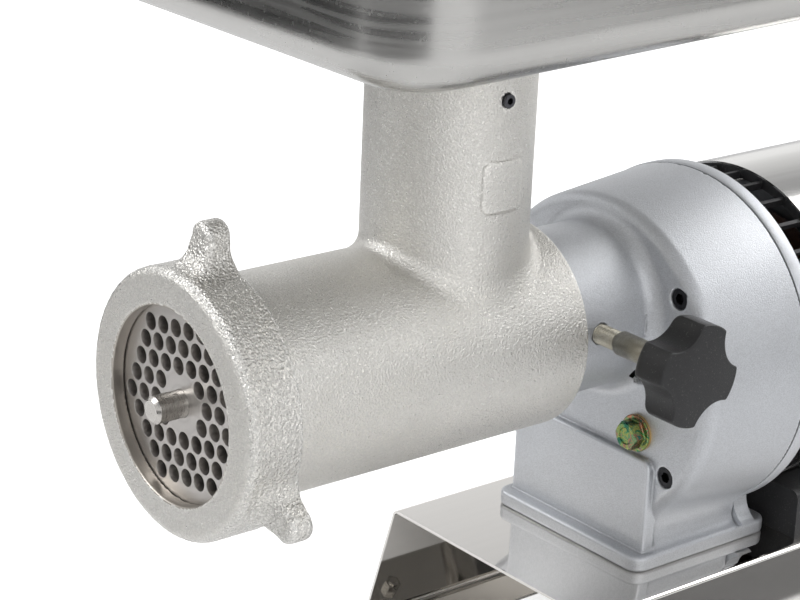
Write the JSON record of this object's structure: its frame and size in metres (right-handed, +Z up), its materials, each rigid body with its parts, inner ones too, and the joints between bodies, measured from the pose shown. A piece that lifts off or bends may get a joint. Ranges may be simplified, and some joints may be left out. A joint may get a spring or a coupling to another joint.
{
  "type": "electric meat grinder",
  "caption": "Electric meat grinder: tinned cast head with feed tray, worm, knife and plate under a screwed ring nut, clamped to a geared motor on a folded base.",
  "frame": {"origin": "on the table under the middle of the machine", "axes": "+Z up, +Y from the cutting end to the motor, +X on the clamp knob side"},
  "size_m": [0.268, 0.5718, 0.436],
  "materials": {
    "tinned_iron": "tinned, coarse cast grain",
    "bronze": "machined",
    "fibre": "matte",
    "steel": "machined",
    "dark_steel": "blackened",
    "plate_steel": "satin ground",
    "tray_stainless": "polished",
    "silver_paint": "fine metallic silver paint",
    "gasket": "matte",
    "black_screw": "black oxide",
    "zinc_plug": "iridescent yellow zinc",
    "rubber": "matte",
    "gear_steel": "ground, oiled",
    "lamination": "laminated, varnished",
    "copper": "enamelled wire",
    "black_plastic": "fine texture",
    "mirror_stainless": "mirror polished stainless",
    "capacitor_grey": "satin",
    "zinc_stud": "olive zinc plated",
    "knob_black": "satin moulded",
    "brass": "turned",
    "switch_red": "satin gloss"
  },
  "bodies": {
    "frame": {"gear_housing": "silver_paint", "housing_gasket": "gasket", "motor_flange": "silver_paint", "housing_screws": "black_screw", "oil_plug": "zinc_plug", "oil_plug_washer": "bronze", "output_seal": "rubber", "output_front_bearing": "steel", "output_rear_bearing": "steel", "countershaft_bush": "bronze", "countershaft_bearing": "steel", "motor_front_bearing": "steel", "motor_rear_bearing": "steel", "stator_core": "lamination", "stator_windings": "copper", "vent_ring": "black_plastic", "motor_shroud": "mirror_stainless", "rear_shield": "silver_paint", "rear_cover": "black_plastic", "tie_bolts": "steel", "start_capacitor": "capacitor_grey", "capacitor_strap": "steel", "motor_cradle": "rubber", "base_cover": "mirror_stainless", "rubber_feet": "rubber", "foot_screws": "steel", "gearbox_bolts": "steel", "switch_box": "black_plastic", "box_screws": "steel", "rocker_bezel": "black_plastic", "reset_breaker": "black_plastic", "cable_gland": "black_plastic"},
    "motor_rotor": {"motor_shaft": "steel", "motor_pinion": "gear_steel", "rotor": "lamination", "cooling_fan": "black_plastic"},
    "counter": {"countershaft": "gear_steel", "counter_gear": "gear_steel"},
    "output": {"output_shaft": "steel", "output_gear": "gear_steel"},
    "head": {"head_casting": "tinned_iron", "worm_bush": "bronze", "thrust_washer": "fibre", "plate_key_pin": "steel", "throat_set_screw": "dark_steel"},
    "auger": {"worm": "tinned_iron", "worm_shaft": "steel", "knife": "steel"},
    "plate": {"cutting_plate": "plate_steel"},
    "ring": {"ring_nut": "tinned_iron"},
    "feed_tray": {"tray": "tray_stainless", "tray_collar": "tray_stainless"},
    "pad": {"clamp_pad": "bronze"},
    "clamp": {"clamp_stud": "zinc_stud", "clamp_knob": "knob_black", "knob_insert": "brass"},
    "rocker": {"rocker_switch": "switch_red"},
    "reset": {"reset_button": "switch_red"}
  },
  "joints": [
    {"name": "motor_spin", "type": "hinge", "parent": "frame", "child": "motor_rotor", "pos_m": [0, 0.1259, 0.182], "axis": [0, 1, 0], "continuous": true},
    {"name": "counter_spin", "type": "hinge", "parent": "frame", "child": "counter", "pos_m": [0.03527, 0.0159, 0.1892], "axis": [0, 1, 0], "continuous": true},
    {"name": "output_spin", "type": "hinge", "parent": "frame", "child": "output", "pos_m": [0, -0.0041, 0.212], "axis": [0, 1, 0], "continuous": true},
    {"name": "head_slide", "type": "slide", "parent": "frame", "child": "head", "axis": [0, -1, 0], "range_m": [0, 0.055]},
    {"name": "worm_spin", "type": "hinge", "parent": "head", "child": "auger", "pos_m": [0, -0.1241, 0.212], "axis": [0, 1, 0], "continuous": true},
    {"name": "plate_slide", "type": "slide", "parent": "head", "child": "plate", "axis": [0, -1, 0], "range_m": [0, 0.0121]},
    {"name": "ring_turn", "type": "hinge", "parent": "plate", "child": "ring", "pos_m": [0, -0.2641, 0.212], "axis": [0, -1, 0], "range_deg": [0, 1080]},
    {"name": "tray_lift", "type": "slide", "parent": "head", "child": "feed_tray", "axis": [0, 0, 1], "range_m": [0, 0.045]},
    {"name": "pad_slide", "type": "slide", "parent": "frame", "child": "pad", "axis": [1, 0, 0], "range_m": [0, 0.006]},
    {"name": "knob_turn", "type": "hinge", "parent": "pad", "child": "clamp", "pos_m": [0.07, -0.0576, 0.214], "axis": [1, 0, 0], "range_deg": [0, 1441]},
    {"name": "rocker_tilt", "type": "hinge", "parent": "frame", "child": "rocker", "pos_m": [0.0635, 0.0989, 0.097], "axis": [0, 0, 1], "range_deg": [-16, 0]},
    {"name": "reset_press", "type": "slide", "parent": "frame", "child": "reset", "axis": [-1, 0, 0], "range_m": [0, 0.003], "stiffness_N_per_m": 300}
  ],
  "couplings": [
    {"joint": "counter_spin", "follows": "motor_spin", "ratio": -0.33333},
    {"joint": "output_spin", "follows": "motor_spin", "ratio": 0.11111},
    {"joint": "worm_spin", "follows": "motor_spin", "ratio": 0.11111},
    {"joint": "plate_slide", "follows": "ring_turn", "m_per_rad": 0.00063662},
    {"joint": "knob_turn", "follows": "pad_slide", "rad_per_m": 4188.8}
  ]
}
